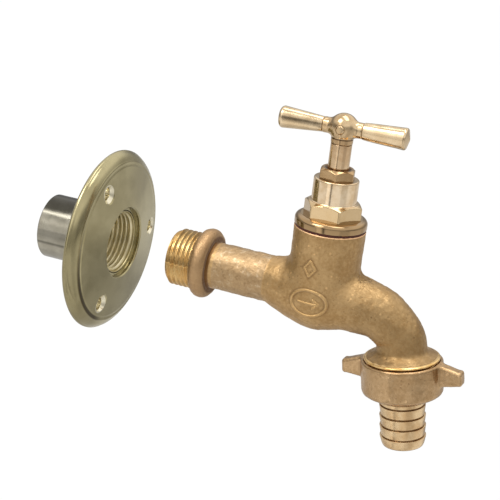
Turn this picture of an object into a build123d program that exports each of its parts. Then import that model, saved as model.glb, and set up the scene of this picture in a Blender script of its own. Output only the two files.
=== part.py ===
"""Wall-mounted hose bib: a wall flange, a globe tap with a rising spindle, and a hose union.

Units are millimetres, +Z is up and +X points out of the wall. The origin is the point where
the inlet axis meets the wall, so the back of the flange's plate lies at X = 0. The tap is
drawn at the mouth of the flange, unscrewed from it, and slides in along X.
"""
import os
from math import cos, radians, sin

from build123d import *

# ---------------------------------------------------------------- wall flange
plate_r = 33.9
plate_edge_x = 1.6
shoulder_ring_r = 30.2
shoulder_ring_x = 4.7
shoulder_round = 1.4
plate_dome = [(26.5, 5.45), (22.0, 6.1), (17.5, 6.7)]
plate_mouth_x = 7.2
mouth_r = 13.15
mouth_depth = 1.8
screw_circle_r = 24.5
screw_hole_r = 2.3
screw_sink_r = 3.4
screw_face_x = 5.75
screw_count = 3
socket_outer_r = 12.05
socket_back_x = -23.3
socket_front_x = plate_mouth_x - mouth_depth
pipe_bore_r = 11.05
pipe_bore_depth = 14.0
socket_thread_r = 10.55
socket_thread_root_r = 11.3

# ---------------------------------------------------------------- tap: places
spindle_x = 85.7
thread_pitch = 1.814
inlet_crest_r = 10.4775
inlet_root_r = 9.32
inlet_end_x = -57.1
inlet_thread_turns = 5
shoulder_r = 9.9
collar_x = -44.5
collar_ring_r = 9.8
collar_tube_r = 3.0
neck_r = 8.45
neck_flare = [(8.45, -20.5), (9.5, -16.0), (10.7, -11.0), (11.0, -4.0)]
inlet_bore_r = 6.4
inlet_bore_end_x = -13.5

# ---------------------------------------------------------------- tap: chamber
column_r = 12.5
column_top_z = 24.0
belly_bottom_z = -13.3
belly_foot_r = 1.5
belly_side = [(8.4, -10.7), (13.2, -2.5), (12.5, 8.0)]
column_start_z = 14.0
chamber_bore_r = 10.0
bonnet_bore_r = 10.5
bonnet_bore_depth = 9.5
seat_z = 3.0
seat_hole_r = 5.0
seat_lip_r = 7.0
seat_lip_height = 0.8
seat_under_z = -1.5
lower_pocket_r = 5.8
lower_pocket_z = -9.5
link_bore_r = 3.6
link_bore_length = 16.0
link_centre = (-9.0, 0, -4.2)
link_tilt = 110.0

# ---------------------------------------------------------------- tap: outlet
outlet_tilt = 9.3
outlet_rim_x = 32.25
outlet_rim_z = -17.4
outlet_bore_r = 6.3
spout_wall = 4.4
nose_crest_r = 13.15
nose_root_r = 12.0
nose_length = 8.1

# ---------------------------------------------------------------- bonnet and gland
gasket_r = 12.55
gasket_thick = 0.8
bonnet_flange_r = 12.7
bonnet_flange_thick = 3.4
bonnet_hex_corner_r = 10.5
bonnet_hex_height = 5.2
bonnet_hex_turn = 1.5
bonnet_skirt_r = 10.45
bonnet_skirt_z = 15.0
skirt_bore_r = 6.6
skirt_mouth_r = 8.2
gland_box_r = 7.9
gland_box_top_z = 41.6
gland_cavity_r = 5.65
gland_floor_z = 33.0
web_thick = 1.6
spindle_bore_r = 5.05
packing_washer_thick = 0.8
packing_ring_thick = 1.6
follower_thick = 1.5
gland_nut_corner_r = 6.7
gland_nut_top_z = 45.2
gland_thread_r = 5.6
gland_nut_turn = 43.0

# ---------------------------------------------------------------- spindle and handle
stem_r = 3.7
stem_hole_r = 3.76
neck_step = 0.8
spindle_thread_r = 5.0
spindle_thread_root_r = 4.1
spindle_pitch = 2.5
spindle_bottom_z = 9.0
spindle_thread_top_z = 24.0
spindle_bore_depth = 10.5
hub_z = 59.3
hub_r = 5.05
hub_skirt_r = 3.9
hub_skirt_z = 53.9
handle_turn = 3.0
boss_r = 2.75
boss_reach = 7.0
bar_core_r = 1.9
bar_half_length = 22.6
grip_end_r = 3.85
left_grip_root_r = 2.65
right_grip_root_r = 2.95
grip_socket_end = 5.8
pin_r = 1.5
jumper_disc_r = 7.3
jumper_disc_thick = 2.4
jumper_stem_r = 2.4
jumper_stem_top_z = 18.5
valve_washer_r = 7.0
valve_washer_thick = 3.0
stud_r = 1.5
stud_end_z = 0.8
washer_nut_corner_r = 3.8
washer_nut_thick = 1.6

# ---------------------------------------------------------------- hose union
nut_r = 14.4
nut_rim_r = 14.05
nut_cylinder = 11.4
nut_length = 14.8
nut_mouth_r = 13.2
nut_hole_r = 8.3
wing_tip_r = 22.1
wing_width = 4.6
wing_top = 2.0
wing_height = 5.2
wing_turn = 4.0
union_washer_r = 12.2
union_washer_hole_r = 6.6
union_washer_thick = 1.6
tail_flange_r = 11.6
tail_flange_thick = 1.5
tail_neck_r = 7.9
tail_bore_r = 5.9
barb_crest_r = 8.2
barb_valley_r = 7.75
barb_start = 16.5
barb_pitch = 3.85
barb_count = 4
tail_end = 31.8
wing_round = 1.0

# ---------------------------------------------------------------- clearances
face_gap = 0.05
fit_gap = 0.02

os.makedirs("parts", exist_ok=True)


# ---------------------------------------------------------------- helpers
def turned(points):
    """Solid of revolution about Z, from (radius, height) corner points."""
    outline = Polyline([(r, 0, h) for r, h in points], close=True)
    return revolve(make_face(outline), axis=Axis.Z, revolution_arc=360)


def along_x(shape):
    """Turn a solid made about Z so that its heights run along +X."""
    return Rot(0, 90, 0) * shape


def ring(outer_r, inner_r, low, high):
    """Plain washer about Z between two heights."""
    return turned([(inner_r, low), (outer_r, low), (outer_r, high), (inner_r, high)])


def ridges(crest_r, root_r, start, pitch, count):
    """(radius, height) points of annular V ridges, from start upwards."""
    points = []
    for i in range(count):
        base = start + i * pitch
        points += [(root_r, base), (crest_r, base + 0.42 * pitch), (crest_r, base + 0.58 * pitch)]
    points.append((root_r, start + count * pitch))
    return points


def hexagon(corner_r, low, high, turn, chamfer):
    """Hexagonal prism about Z, its top corners turned off by a cone."""
    prism = Pos(0, 0, low) * Rot(0, 0, turn) * extrude(RegularPolygon(corner_r, 6), high - low)
    flat_r = corner_r * cos(radians(30))
    cone = turned([(0, low), (corner_r + 1, low), (corner_r + 1, high - chamfer - 0.5),
                   (corner_r, high - chamfer), (flat_r - 0.4, high), (0, high)])
    return prism & cone


def place_tap(shape):
    """Move a solid from the tap's frame (spindle on Z) to the part's frame."""
    return Pos(spindle_x, 0, 0) * shape


def place_union(shape):
    """Move a solid made about Z, rim at 0 and growing upwards, onto the outlet axis."""
    at_rim = Pos(outlet_rim_x, 0, outlet_rim_z)
    return place_tap(at_rim * Rot(0, 180 - outlet_tilt, 0) * shape)


def save(shape, node):
    """Write one node."""
    solids = shape.solids()
    shape = solids[0] if len(solids) == 1 else Compound(children=solids)
    shape.label = node
    export_step(shape, f"parts/{node}.step")


# ---------------------------------------------------------------- wall flange
def rounded(centre, radius, start, end, steps=4):
    """(radius, height) points on an arc about centre, from the start to the end angle in degrees."""
    angles = [radians(start + (end - start) * i / steps) for i in range(steps + 1)]
    return [(centre[0] + radius * cos(a), centre[1] + radius * sin(a)) for a in angles]


def wall_plate():
    """Round brass plate: a bevelled edge, a shallow domed face and three countersunk holes."""
    bore_r = socket_outer_r + fit_gap
    shoulder = (shoulder_ring_r - 0.4, shoulder_ring_x - 1.2)
    points = [(mouth_r + 0.4, plate_mouth_x), (mouth_r, plate_mouth_x - 0.4), (mouth_r, socket_front_x),
              (bore_r, socket_front_x), (bore_r, 0), (plate_r - 0.7, 0), (plate_r, 0.7),
              (plate_r, plate_edge_x), (plate_r - 0.5, plate_edge_x + 0.9)]
    points += rounded(shoulder, shoulder_round, 45, 95)
    points += plate_dome
    plate = along_x(turned(points))
    sink_x = screw_face_x - (screw_sink_r - screw_hole_r)
    hole = turned([(0, -1), (screw_hole_r, -1), (screw_hole_r, sink_x), (screw_sink_r, screw_face_x),
                   (screw_sink_r, plate_mouth_x + 1), (0, plate_mouth_x + 1)])
    for i in range(screw_count):
        angle = radians(90 + i * 360 / screw_count)
        y = screw_circle_r * sin(angle)
        z = screw_circle_r * cos(angle)
        plate -= Pos(0, y, z) * along_x(hole)
    return plate


def threaded_socket():
    """Tube through the wall: a pipe socket at the back, a female thread at the front."""
    step_x = socket_back_x + pipe_bore_depth
    count = int((socket_front_x - step_x - 1.4) / thread_pitch)
    start = socket_front_x - 0.9 - count * thread_pitch
    thread = ridges(socket_thread_root_r, socket_thread_r, start, thread_pitch, count)
    points = [(socket_outer_r, socket_front_x - 0.3), (socket_outer_r - 0.3, socket_front_x),
              (socket_thread_r + 0.9, socket_front_x)] + thread[::-1]
    points += [(socket_thread_r, step_x + 0.3), (pipe_bore_r, step_x), (pipe_bore_r, socket_back_x + 0.3),
               (pipe_bore_r + 0.3, socket_back_x), (socket_outer_r - 0.3, socket_back_x),
               (socket_outer_r, socket_back_x + 0.3)]
    return along_x(turned(points))


# ---------------------------------------------------------------- tap body
def inlet_outside():
    """Threaded inlet, machined shoulder, neck and its flare into the chamber."""
    thread_end = inlet_end_x + 0.5 + inlet_thread_turns * thread_pitch
    points = [(0, inlet_end_x), (inlet_root_r, inlet_end_x)]
    points += ridges(inlet_crest_r, inlet_root_r, inlet_end_x + 0.5, thread_pitch, inlet_thread_turns)
    points += [(shoulder_r, thread_end + 0.2), (shoulder_r, collar_x), (neck_r, collar_x)]
    points += neck_flare + [(0, neck_flare[-1][1])]
    return along_x(turned(points)) + Pos(collar_x, 0, 0) * along_x(Torus(collar_ring_r, collar_tube_r))


def chamber_outside():
    """Round column under the bonnet, swelling into the belly of the casting."""
    with BuildPart() as chamber:
        with BuildSketch(Plane.XZ):
            with BuildLine():
                Spline((belly_foot_r, belly_bottom_z), *belly_side, (column_r, column_start_z),
                       tangents=((1, 0), (0, 1)))
                Polyline((column_r, column_start_z), (column_r + 0.1, column_top_z), (0, column_top_z),
                         (0, belly_bottom_z), (belly_foot_r, belly_bottom_z))
            make_face()
        revolve(axis=Axis.Z)
    return chamber.part


def outlet_route():
    """Centre points and outer radii of the spout, from the chamber to the nose."""
    tilt = radians(outlet_tilt)
    down = (sin(tilt), -cos(tilt))

    def at(s):
        return (outlet_rim_x + down[0] * s, outlet_rim_z + down[1] * s)

    return [((4.0, -0.7), -4.0, 11.0), ((9.0, -0.8), -6.0, 10.8), ((14.0, -1.3), -12.0, 10.3),
            ((21.6, -3.2), -28.0, 9.3), ((27.6, -7.2), -50.0, 8.8),
            (at(-7.2), -74.0, 8.4), (at(-4.2), -90 + outlet_tilt, 8.8)]


def spout(radii_less, stations):
    """Loft through circles along the spout, each smaller by radii_less."""
    sections = []
    for (x, z), heading, radius in stations:
        direction = Vector(cos(radians(heading)), 0, sin(radians(heading)))
        plane = Plane(origin=(x, 0, z), x_dir=(0, 1, 0), z_dir=direction)
        sections.append(plane * Circle(radius - radii_less))
    return loft(sections)


def nose_outside():
    """Flared end of the spout with the union thread, made on the outlet axis."""
    count = int((nose_length - 1.0) / thread_pitch)
    points = [(0, -4.3), (8.75, -4.3), (9.4, -3.2), (10.6, -2.2), (12.2, -1.5), (13.2, -1.0), (13.4, -0.5),
              (12.0, -0.3)]
    points += ridges(nose_crest_r, nose_root_r, 0.0, thread_pitch, count)
    points += [(nose_root_r, nose_length), (0, nose_length)]
    nose = Pos(outlet_rim_x, 0, outlet_rim_z) * Rot(0, 180 - outlet_tilt, 0) * turned(points)
    return nose


def body_casting():
    """Cast body with the seat bridge between its inlet and outlet passages."""
    route = outlet_route()
    shell = chamber_outside() + inlet_outside()
    shell += spout(0.0, route)
    shell += nose_outside()
    upper = turned([(0, seat_z), (seat_lip_r, seat_z), (seat_lip_r + 0.1, seat_z - seat_lip_height),
                    (chamber_bore_r, seat_z - seat_lip_height),
                    (chamber_bore_r, column_top_z - bonnet_bore_depth),
                    (bonnet_bore_r, column_top_z - bonnet_bore_depth + 0.5),
                    (bonnet_bore_r, column_top_z + 1), (0, column_top_z + 1)])
    seat_hole = Cylinder(seat_hole_r, 4 * seat_z)
    pocket = turned([(0, lower_pocket_z), (lower_pocket_r - 2, lower_pocket_z),
                     (lower_pocket_r, lower_pocket_z + 2), (lower_pocket_r, seat_under_z - 0.8),
                     (seat_hole_r, seat_under_z), (0, seat_under_z)])
    inlet_bore = along_x(turned([(0, inlet_end_x - 1), (inlet_bore_r + 0.6, inlet_end_x - 1),
                                 (inlet_bore_r + 0.6, inlet_end_x), (inlet_bore_r, inlet_end_x + 0.6),
                                 (inlet_bore_r, inlet_bore_end_x - 1.5),
                                 (inlet_bore_r - 2, inlet_bore_end_x), (0, inlet_bore_end_x)]))
    link = Pos(*link_centre) * Rot(0, link_tilt, 0) * Cylinder(link_bore_r, link_bore_length)
    outlet_link = spout(spout_wall, [((8.6, 5.2), -12.0, 10.0), ((15.0, 2.2), -28.0, 10.2),
                              ((21.6, -2.4), -38.0, 10.0), ((27.2, -7.6), -54.0, 9.8)] + [
                             (route[5][0], -76.0, 10.1), (route[6][0], -90 + outlet_tilt, 10.2)])
    drop = (Pos(outlet_rim_x, 0, outlet_rim_z) * Rot(0, 180 - outlet_tilt, 0)
            * turned([(0, -4.4), (outlet_bore_r, -4.4), (outlet_bore_r, nose_length + 1),
                      (0, nose_length + 1)]))
    shell -= upper
    shell -= seat_hole
    shell -= pocket
    shell -= inlet_bore
    shell -= link
    shell -= outlet_link
    shell -= drop
    return place_tap(shell)


# ---------------------------------------------------------------- bonnet and gland
def bonnet_gasket():
    """Thin fibre ring between the casting and the bonnet."""
    return place_tap(ring(gasket_r, bonnet_bore_r + 0.05, column_top_z, column_top_z + gasket_thick))


def bonnet():
    """Headgear: skirt thread, round flange, hexagon and gland box, bored for the spindle."""
    flange_z = column_top_z + gasket_thick
    hex_z = flange_z + bonnet_flange_thick
    box_z = hex_z + bonnet_hex_height
    outside = turned([(0, bonnet_skirt_z), (bonnet_skirt_r - 0.8, bonnet_skirt_z),
                      (bonnet_skirt_r, bonnet_skirt_z + 0.8), (bonnet_skirt_r, flange_z),
                      (bonnet_flange_r, flange_z), (bonnet_flange_r, flange_z + bonnet_flange_thick - 1.3),
                      (bonnet_flange_r - 0.7, flange_z + bonnet_flange_thick - 0.4),
                      (bonnet_flange_r - 2.2, hex_z), (0, hex_z)])
    outside += hexagon(bonnet_hex_corner_r, hex_z, box_z, bonnet_hex_turn, 1.2)
    outside += turned([(0, box_z - 0.5), (gland_box_r, box_z - 0.5), (gland_box_r, gland_box_top_z - 0.5),
                       (gland_box_r - 0.5, gland_box_top_z), (0, gland_box_top_z)])
    web_z = gland_floor_z - web_thick
    inside = turned([(0, bonnet_skirt_z - 1), (skirt_mouth_r, bonnet_skirt_z - 1),
                     (skirt_mouth_r, bonnet_skirt_z), (skirt_bore_r, bonnet_skirt_z + 1.6),
                     (spindle_bore_r, bonnet_skirt_z + 1.6),
                     (spindle_bore_r, web_z), (stem_hole_r, web_z), (stem_hole_r, gland_floor_z),
                     (gland_cavity_r, gland_floor_z), (gland_cavity_r, gland_box_top_z + 1),
                     (0, gland_box_top_z + 1)])
    return place_tap(outside - inside)


def gland_stack():
    """Bottom heights of the packing washer, both packing rings, the follower and the nut."""
    washer = gland_floor_z
    ring_1 = washer + packing_washer_thick
    ring_2 = ring_1 + packing_ring_thick
    follower = ring_2 + packing_ring_thick + face_gap
    nut = follower + follower_thick + face_gap
    return washer, ring_1, ring_2, follower, nut


def gland_nut():
    """Small hexagonal gland nut with a threaded skirt."""
    skirt_z = gland_stack()[4]
    top = hexagon(gland_nut_corner_r, gland_box_top_z + face_gap, gland_nut_top_z, gland_nut_turn, 1.1)
    skirt = turned([(0, skirt_z), (gland_thread_r - 0.4, skirt_z), (gland_thread_r, skirt_z + 0.4),
                    (gland_thread_r, gland_box_top_z + 0.2), (0, gland_box_top_z + 0.2)])
    hole = turned([(0, skirt_z - 1), (stem_hole_r + fit_gap, skirt_z - 1),
                   (stem_hole_r + fit_gap, gland_nut_top_z - 0.5),
                   (stem_hole_r + 0.5, gland_nut_top_z + 0.01),
                   (stem_hole_r + 0.5, gland_nut_top_z + 1), (0, gland_nut_top_z + 1)])
    return place_tap(top + skirt - hole)


# ---------------------------------------------------------------- spindle and handle
def spindle():
    """Rising spindle: screw at the bottom, smooth stem above, socket for the jumper."""
    bottom = spindle_bottom_z
    turns = int((spindle_thread_top_z - bottom - 2.0) / spindle_pitch)
    thread_z = spindle_thread_top_z - turns * spindle_pitch
    points = [(0, bottom), (spindle_thread_root_r, bottom), (spindle_thread_root_r, thread_z)]
    for i in range(turns):
        low = thread_z + i * spindle_pitch
        points += [(spindle_thread_root_r, low + 0.3), (spindle_thread_r, low + 0.75),
                   (spindle_thread_r, low + 1.75), (spindle_thread_root_r, low + 2.2)]
    points += [(spindle_thread_root_r, spindle_thread_top_z), (stem_r, spindle_thread_top_z + 0.6),
               (stem_r, hub_skirt_z), (stem_r - neck_step, hub_skirt_z), (stem_r - neck_step, hub_z + 1.6),
               (0, hub_z + 1.6)]
    body = turned(points)
    socket = Pos(0, 0, bottom + spindle_bore_depth / 2 - 0.5) * Cylinder(jumper_stem_r + 0.06,
                                                                         spindle_bore_depth + 1)
    bar_hole = bar_frame() * Cylinder(bar_core_r + fit_gap, 20)
    pin_hole = pin_frame() * Cylinder(pin_r + fit_gap, 20)
    return place_tap(body - socket - bar_hole - pin_hole)


def bar_frame():
    """Frame with its Z along the tommy bar, centred in the hub."""
    return Pos(0, 0, hub_z) * Rot(0, 0, handle_turn) * Rot(0, 90, 0)


def pin_frame():
    """Frame with its Z along the cross pin, level and square to the bar."""
    return Pos(0, 0, hub_z) * Rot(0, 0, handle_turn) * Rot(90, 0, 0)


def handle_hub():
    """Ball hub with two short bosses and a skirt that sits on the stem's shoulder."""
    ball = Pos(0, 0, hub_z) * Sphere(hub_r)
    skirt = turned([(0, hub_skirt_z), (hub_skirt_r - 0.2, hub_skirt_z),
                    (hub_skirt_r, hub_skirt_z + 0.5), (hub_skirt_r + 0.35, hub_z - 2.6), (0, hub_z - 2.6)])
    bosses = bar_frame() * Cylinder(boss_r, 2 * boss_reach)
    hub = ball + skirt + bosses
    bore_r = stem_r - neck_step + fit_gap
    bore = turned([(0, hub_skirt_z - 1), (bore_r, hub_skirt_z - 1), (bore_r, hub_z + 1.7),
                   (0, hub_z + 1.7)])
    hub -= bore
    hub -= bar_frame() * Cylinder(bar_core_r + fit_gap, 2 * boss_reach + 2)
    hub -= pin_frame() * Cylinder(pin_r + fit_gap, 4 * hub_r)
    return place_tap(hub)


def grip_points(root_r):
    """Half profile of a flared grip that starts at the boss face."""
    return [(0, boss_reach + face_gap), (root_r, boss_reach + face_gap), (root_r + 0.25, boss_reach + 3.0),
            (grip_end_r - 0.12, bar_half_length - 2.4), (grip_end_r, bar_half_length - 1.0),
            (grip_end_r - 0.5, bar_half_length - 0.3)]


def tommy_bar():
    """Bar through the hub with the left grip turned on its end."""
    grip = turned(grip_points(left_grip_root_r) + [(grip_end_r - 1.2, bar_half_length), (0, bar_half_length)])
    core = turned([(0, -bar_half_length + 6), (bar_core_r, -bar_half_length + 6),
                   (bar_core_r, boss_reach + 1), (0, boss_reach + 1)])
    bar = bar_frame() * Rot(180, 0, 0) * (grip + core)
    return place_tap(bar - pin_frame() * Cylinder(pin_r + fit_gap, 4 * hub_r))


def bar_end():
    """Second grip, pressed on the bar's free end, with a shallow turned point."""
    grip = turned(grip_points(right_grip_root_r) + [(0, bar_half_length + 0.5)])
    socket_end = bar_half_length - grip_socket_end
    grip -= turned([(0, 0), (bar_core_r + fit_gap, 0), (bar_core_r + fit_gap, socket_end), (0, socket_end)])
    return place_tap(bar_frame() * grip)


def hub_pin():
    """Rivet through the hub, bar and spindle."""
    reach = hub_r + 0.25
    rivet = turned([(0, -reach), (pin_r - 0.4, -reach), (pin_r, -reach + 0.4), (pin_r, reach - 0.4),
                    (pin_r - 0.4, reach), (0, reach)])
    return place_tap(pin_frame() * rivet)


# ---------------------------------------------------------------- valve
def jumper():
    """Valve disc with a guide stem above and a threaded stud below."""
    base = seat_z + face_gap + valve_washer_thick
    top = base + jumper_disc_thick
    return place_tap(turned([(0, stud_end_z), (stud_r, stud_end_z), (stud_r, base), (jumper_disc_r, base),
                             (jumper_disc_r, top - 0.4), (jumper_disc_r - 0.4, top), (jumper_stem_r, top),
                             (jumper_stem_r, jumper_stem_top_z), (0, jumper_stem_top_z)]))


def washer_nut():
    """Brass nut that clamps the rubber washer to the jumper."""
    top = seat_z + face_gap
    nut = hexagon(washer_nut_corner_r, top - washer_nut_thick, top, 0, 0.4)
    return place_tap(nut - Pos(0, 0, top) * Cylinder(stud_r + 0.03, 6))


# ---------------------------------------------------------------- hose union
def union_stack():
    """Distances along the outlet axis of the union washer and the tail's flange."""
    washer = nose_length + face_gap
    flange = washer + union_washer_thick + face_gap
    return washer, flange, flange + tail_flange_thick


def wing_nut():
    """Union nut: a plain cylinder with a coned foot and two cast wings."""
    shoulder = union_stack()[2] + face_gap
    outside = turned([(0, 0.0), (nut_rim_r, 0.0), (nut_r, 0.6), (nut_r, nut_cylinder),
                      (13.7, nut_cylinder + 1.1), (9.6, nut_length - 0.4), (8.9, nut_length), (0, nut_length)])
    wing = Pos(0, 0, wing_top + wing_height / 2) * Box(2 * wing_tip_r, wing_width, wing_height)
    wing = fillet(wing.edges().filter_by(Axis.Y), wing_round)
    outside += Rot(0, 0, wing_turn) * wing
    inside = turned([(0, -1), (nut_mouth_r, -1), (nut_mouth_r, shoulder), (nut_hole_r, shoulder),
                     (nut_hole_r, nut_length + 1), (0, nut_length + 1)])
    return place_union(outside - inside)


def outlet_washer():
    """Rubber ring that seals the tail's flange to the nose."""
    washer = union_stack()[0]
    return place_union(ring(union_washer_r, union_washer_hole_r, washer, washer + union_washer_thick))


def hose_tail():
    """Barbed spigot that the nut clamps to the nose by its flange."""
    flange, neck = union_stack()[1:]
    points = [(tail_bore_r, flange), (tail_flange_r, flange), (tail_flange_r, neck), (tail_neck_r, neck),
              (tail_neck_r, barb_start - 0.3)]
    for i in range(barb_count):
        s = barb_start + i * barb_pitch
        low = min(s + barb_pitch, tail_end)
        points += [(barb_valley_r, s - 0.3), (barb_valley_r, s), (barb_crest_r, s + 0.1),
                   (barb_crest_r, s + 0.5), (barb_valley_r, low - 0.4)]
    points += [(barb_valley_r - 0.3, tail_end), (tail_bore_r, tail_end)]
    return place_union(turned(points))


# ---------------------------------------------------------------- write every node
save(wall_plate(), "wall_plate")
save(threaded_socket(), "threaded_socket")
save(body_casting(), "body_casting")
save(bonnet_gasket(), "bonnet_gasket")
save(bonnet(), "bonnet")
stack = gland_stack()
save(place_tap(ring(gland_cavity_r - 0.05, stem_hole_r, stack[0], stack[1])), "packing_washer")
save(place_tap(ring(gland_cavity_r - 0.05, stem_hole_r, stack[1], stack[2])), "packing_ring_lower")
save(place_tap(ring(gland_cavity_r - 0.05, stem_hole_r, stack[2], stack[3] - face_gap)), "packing_ring_upper")
follower = ring(gland_cavity_r - 0.1, stem_hole_r, stack[3], stack[3] + follower_thick)
save(place_tap(follower), "gland_follower")
save(gland_nut(), "gland_nut")
save(spindle(), "spindle")
save(handle_hub(), "handle_hub")
save(hub_pin(), "hub_pin")
save(tommy_bar(), "tommy_bar")
save(bar_end(), "bar_end")
save(jumper(), "jumper")
washer_z = seat_z + face_gap
save(place_tap(ring(valve_washer_r, stud_r + 0.03, washer_z, washer_z + valve_washer_thick)), "valve_washer")
save(washer_nut(), "washer_nut")
save(outlet_washer(), "outlet_washer")
save(wing_nut(), "wing_nut")
save(hose_tail(), "hose_tail")
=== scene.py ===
"""Looks of the hose bib: refined meshes, materials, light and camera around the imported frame.

Lengths are millimetres until mesh_of makes a mesh in metres. Pieces are drawn in local frames:
heights run along Z, and each frame's matrix carries them to the part's own frame.
"""

from math import atan2, ceil, cos, pi, radians, sin

import bmesh
import bpy
import numpy as np
from mathutils import Matrix, Vector, noise


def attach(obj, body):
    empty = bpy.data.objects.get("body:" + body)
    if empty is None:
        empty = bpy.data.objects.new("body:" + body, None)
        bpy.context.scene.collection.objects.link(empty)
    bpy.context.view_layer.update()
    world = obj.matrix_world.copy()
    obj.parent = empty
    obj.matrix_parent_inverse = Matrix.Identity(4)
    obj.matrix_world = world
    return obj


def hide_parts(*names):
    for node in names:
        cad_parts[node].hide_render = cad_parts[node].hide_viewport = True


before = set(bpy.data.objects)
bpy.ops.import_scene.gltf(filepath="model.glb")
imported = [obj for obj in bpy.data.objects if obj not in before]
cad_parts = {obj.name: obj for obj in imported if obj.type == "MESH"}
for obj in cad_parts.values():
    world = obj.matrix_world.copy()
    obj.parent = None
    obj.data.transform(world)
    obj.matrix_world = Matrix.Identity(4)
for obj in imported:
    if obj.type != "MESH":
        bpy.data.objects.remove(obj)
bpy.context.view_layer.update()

MM = 0.001

# ---- driving sizes (mm)
SPINDLE_X = 85.7
PITCH = 1.814
TILT = radians(9.3)
RIM_X, RIM_Z = 32.25, -17.4
HUB_Z = 59.3
HANDLE_TURN = radians(3.0)
WING_TURN = radians(4.0)
FIT_GAP = 0.02

# wall flange
PLATE_R = 33.9
PLATE_EDGE = 1.6
FACE_PROFILE = ((17.5, 22, 26.5), (6.7, 6.1, 5.45))
SHOULDER = (29.8, 3.5)
SHOULDER_ROUND = 1.4
MOUTH_X = 7.2
MOUTH_R = 13.15
MOUTH_DEPTH = 1.8
SCREW_CIRCLE = 24.5
SCREW_ANGLES = [radians(90 + 120 * i) for i in range(3)]
SCREW_R = 2.3
SINK_R = 3.4
SINK_FACE = 5.75
SOCKET_R = 12.05
SOCKET_BACK = -23.3
PIPE_R = 11.05
PIPE_DEPTH = 14.0
SOCKET_CREST = 10.55
SOCKET_ROOT = 11.3

# tap body
INLET_END = -57.1
INLET_CREST = 10.45
INLET_ROOT = 9.32
INLET_TURNS = 5.35
INLET_SHOULDER_R = 9.9
INLET_BORE = 6.4
COLLAR_X = -44.5
COLLAR_R = 9.8
COLLAR_TUBE = 3.0
NECK_R = 8.45
NECK_STEP_X = -19.9
NECK_PROFILE = ((-44, NECK_STEP_X, -19.5, -16, -11, -4), (NECK_R, NECK_R, NECK_R - 0.1, 9.5, 10.7, 11))
NECK_DROP = ((-20.5, -13), (0, -0.6))
COLUMN_R = 12.5
COLUMN_TOP = 24.0
BELLY_R = 13.2
BELLY_Z = -2.5
BELLY_DEPTH = 10.8
OVAL = (-0.4, -0.6)
OVAL_HALF = (6.4, 4.6)
DIAMOND = (-1.5, 11.6)
DIAMOND_HALF = (2.1, 2.8)
OUTLET_BORE = 6.3
FLARE_PROFILE = ((-8, -4.3, -3.2, -2.2, -1.5, -1.1), (7.5, 8.75, 9.4, 10.6, 12.1, 12.9))
LIP_R = 13.4
NOSE_CREST = 13.1
NOSE_ROOT = 12.0
NOSE_LENGTH = 8.1

# bonnet, gland, spindle and handle
BONNET_FOOT = 15.0
GASKET_R = 10.6
GASKET_TOP = 24.8
FLANGE_R = 12.7
FLANGE_TOP = 28.2
BONNET_HEX = 10.5
HEX_TOP = 33.4
HEX_TURN = radians(1.5)
GLAND_BOX_R = 7.9
GLAND_BOX_TOP = 41.6
GLAND_FLOOR = 33.0
GLAND_CAVITY = 5.65
GLAND_HEX = 6.7
GLAND_TOP = 45.2
GLAND_TURN = radians(43.0)
GLAND_SKIRT_R = 5.6
GLAND_SKIRT_END = 38.6
STEM_R = 3.7
STEM_HOLE = 3.76
STEM_TOP = 53.9
STEM_CORE = 2.9
SPINDLE_FOOT = 9.0
SPINDLE_BORE = (2.46, 19.0)
SPINDLE_ROOT = 4.1
SPINDLE_CREST = 4.98
SPINDLE_SCREW = (9.6, 23.6)
SPINDLE_PITCH = 2.5
HUB_R = 5.05
HUB_SKIRT = ((-5.6, -2.4), (3.78, 3.9))
BOSS_R = 2.75
BOSS_REACH = 7.0
BAR_CORE = 1.9
BAR_HALF = 22.6
BAR_SEAT = 6.0
GRIP_END = 3.85
PIN_R = 1.5
PIN_HALF = 5.3

# hose union
NUT_R = 14.4
NUT_CYLINDER = 11.4
NUT_FOOT_R = 9.2
NUT_LENGTH = 14.8
NUT_MOUTH = 13.2
NUT_HOLE = 8.3
NUT_SHOULDER = 11.35
WING_TIP = 22.1
WING_WIDTH = 4.6
WING_TOP = 2.0
WING_HEIGHT = 5.2
WING_ROUND = 1.1
TAIL_FLANGE = (9.8, 11.3)
TAIL_FLANGE_R = 11.6
TAIL_NECK = 7.9
TAIL_BORE = 5.9
BARB_CREST = 8.2
BARB_VALLEY = 7.75
BARB_GROOVE = 7.45
BARB_START = 16.5
BARB_PITCH = 3.85
BARBS = 4
TAIL_END = 31.8

# view, light and floor (lengths in metres)
AZIMUTH, ELEVATION, ROLL = radians(20.49), radians(18.73), radians(6.57)
CAMERA_PLACE = (0.21216, -0.41479, 0.15886)
LENS = 94.16
SEEN_WHITE = 1.05
DARKEST = 0.02
STUDIO_COLOUR = (1, 0.985, 0.96, 1)
FLOOR_REACH = 4.0
FLOOR_LEVEL = -0.12
FLOOR_GLOW = 1.04
FLOOR_SEEN = 0.95


# ---- local frames
def move(x, y, z):
    return Matrix.Translation((x, y, z))


def turn(angle, axis):
    return Matrix.Rotation(angle, 4, axis)


WALL = turn(pi / 2, "Y")
TAP = move(SPINDLE_X, 0, 0)
INLET = TAP @ turn(pi / 2, "Y")
UNION = TAP @ move(RIM_X, 0, RIM_Z) @ turn(pi - TILT, "Y")
HUB = TAP @ move(0, 0, HUB_Z) @ turn(HANDLE_TURN, "Z")
BAR = HUB @ turn(pi / 2, "Y")
PIN = HUB @ turn(pi / 2, "X")


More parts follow.
